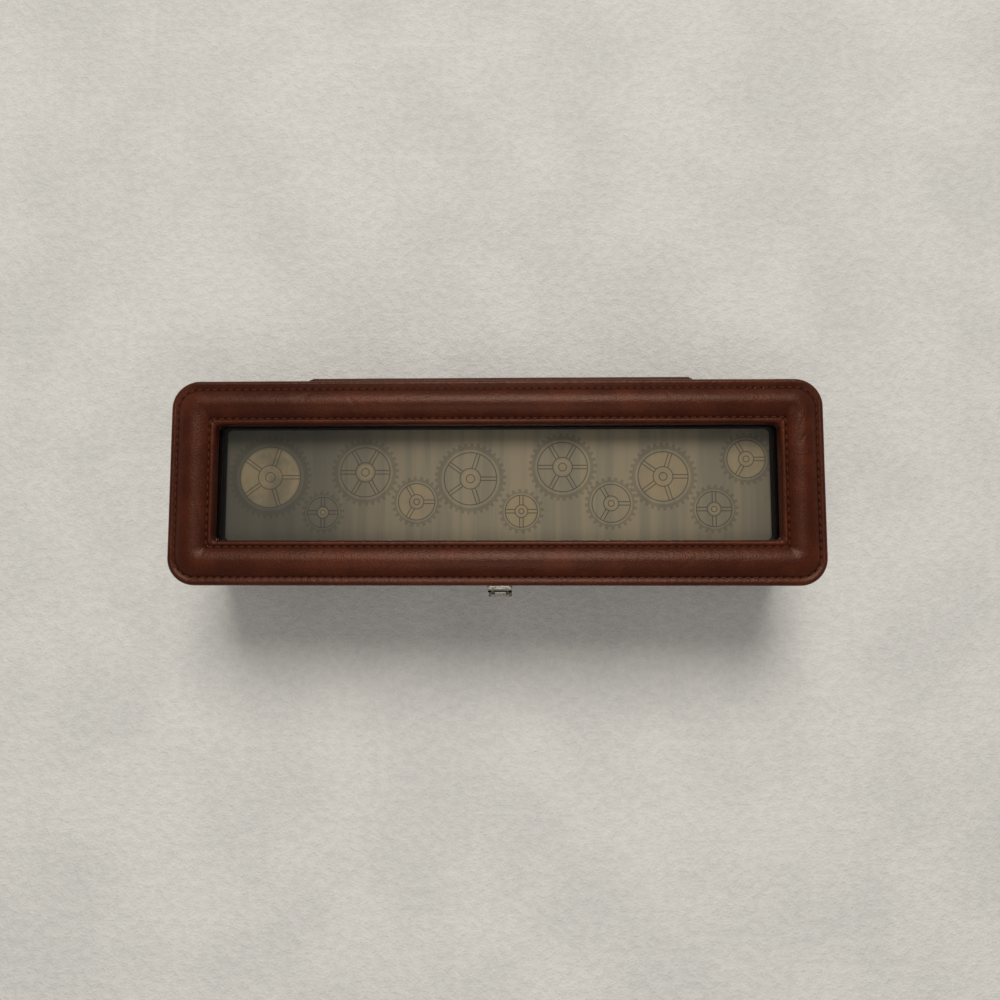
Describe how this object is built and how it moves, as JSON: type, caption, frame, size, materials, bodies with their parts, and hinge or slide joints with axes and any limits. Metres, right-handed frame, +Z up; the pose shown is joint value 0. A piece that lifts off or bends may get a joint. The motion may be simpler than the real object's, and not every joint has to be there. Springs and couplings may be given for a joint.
{
  "type": "watch display box",
  "caption": "Low leather-covered watch box with a padded, hinged lid, a sunk glass window over a printed card, a flip latch, and cushions between dividers.",
  "frame": {"origin": "centre of the felt base, on the surface that the box stands on", "axes": "+X along the box, +Y from the latch at the front to the hinges at the rear, +Z up"},
  "size_m": [0.33, 0.1157, 0.08],
  "materials": {
    "leather": "dark brown grained leather, semi-gloss",
    "board": "fibreboard, raw",
    "foam": "soft padding foam",
    "black_velvet": "black flocked velvet",
    "cushion_velvet": "black velvet, padded",
    "felt": "pressed black felt",
    "glass": "clear flat glass, polished",
    "card": "matt printed card, grey-green with line art of gear wheels",
    "nickel": "polished nickel plate",
    "steel": "plated steel"
  },
  "bodies": {
    "body": {"base_felt": "felt", "base_board": "board", "body_wall": "board", "body_wrap": "leather", "wall_lining": "black_velvet", "floor_lining": "black_velvet", "divider_1": "black_velvet", "divider_2": "black_velvet", "divider_3": "black_velvet", "divider_4": "black_velvet", "divider_5": "black_velvet", "cushion_1": "cushion_velvet", "cushion_2": "cushion_velvet", "cushion_3": "cushion_velvet", "cushion_4": "cushion_velvet", "cushion_5": "cushion_velvet", "cushion_6": "cushion_velvet", "hinge_left_body_leaf": "steel", "hinge_right_body_leaf": "steel", "hinge_left_pin": "steel", "hinge_right_pin": "steel", "hinge_strip": "leather", "strike_plate": "nickel"},
    "lid": {"lid_frame": "board", "lid_padding": "foam", "lid_cover": "leather", "window_glass": "glass", "window_retainer": "black_velvet", "insert_card": "card", "lid_lining": "black_velvet", "hinge_left_lid_leaf": "steel", "hinge_right_lid_leaf": "steel", "latch_plate": "nickel", "latch_pin": "nickel"},
    "latch": {"latch_flap": "nickel"}
  },
  "joints": [
    {"name": "lid_hinge", "type": "hinge", "parent": "body", "child": "lid", "pos_m": [0.0024, 0.0539, 0.0602], "axis": [-1, 0, 0], "range_deg": [0, 100], "deforming": ["hinge_strip"]},
    {"name": "latch_swing", "type": "hinge", "parent": "lid", "child": "latch", "pos_m": [0.0024, -0.0534, 0.066], "axis": [-1, 0, 0], "range_deg": [-7, 110]}
  ]
}
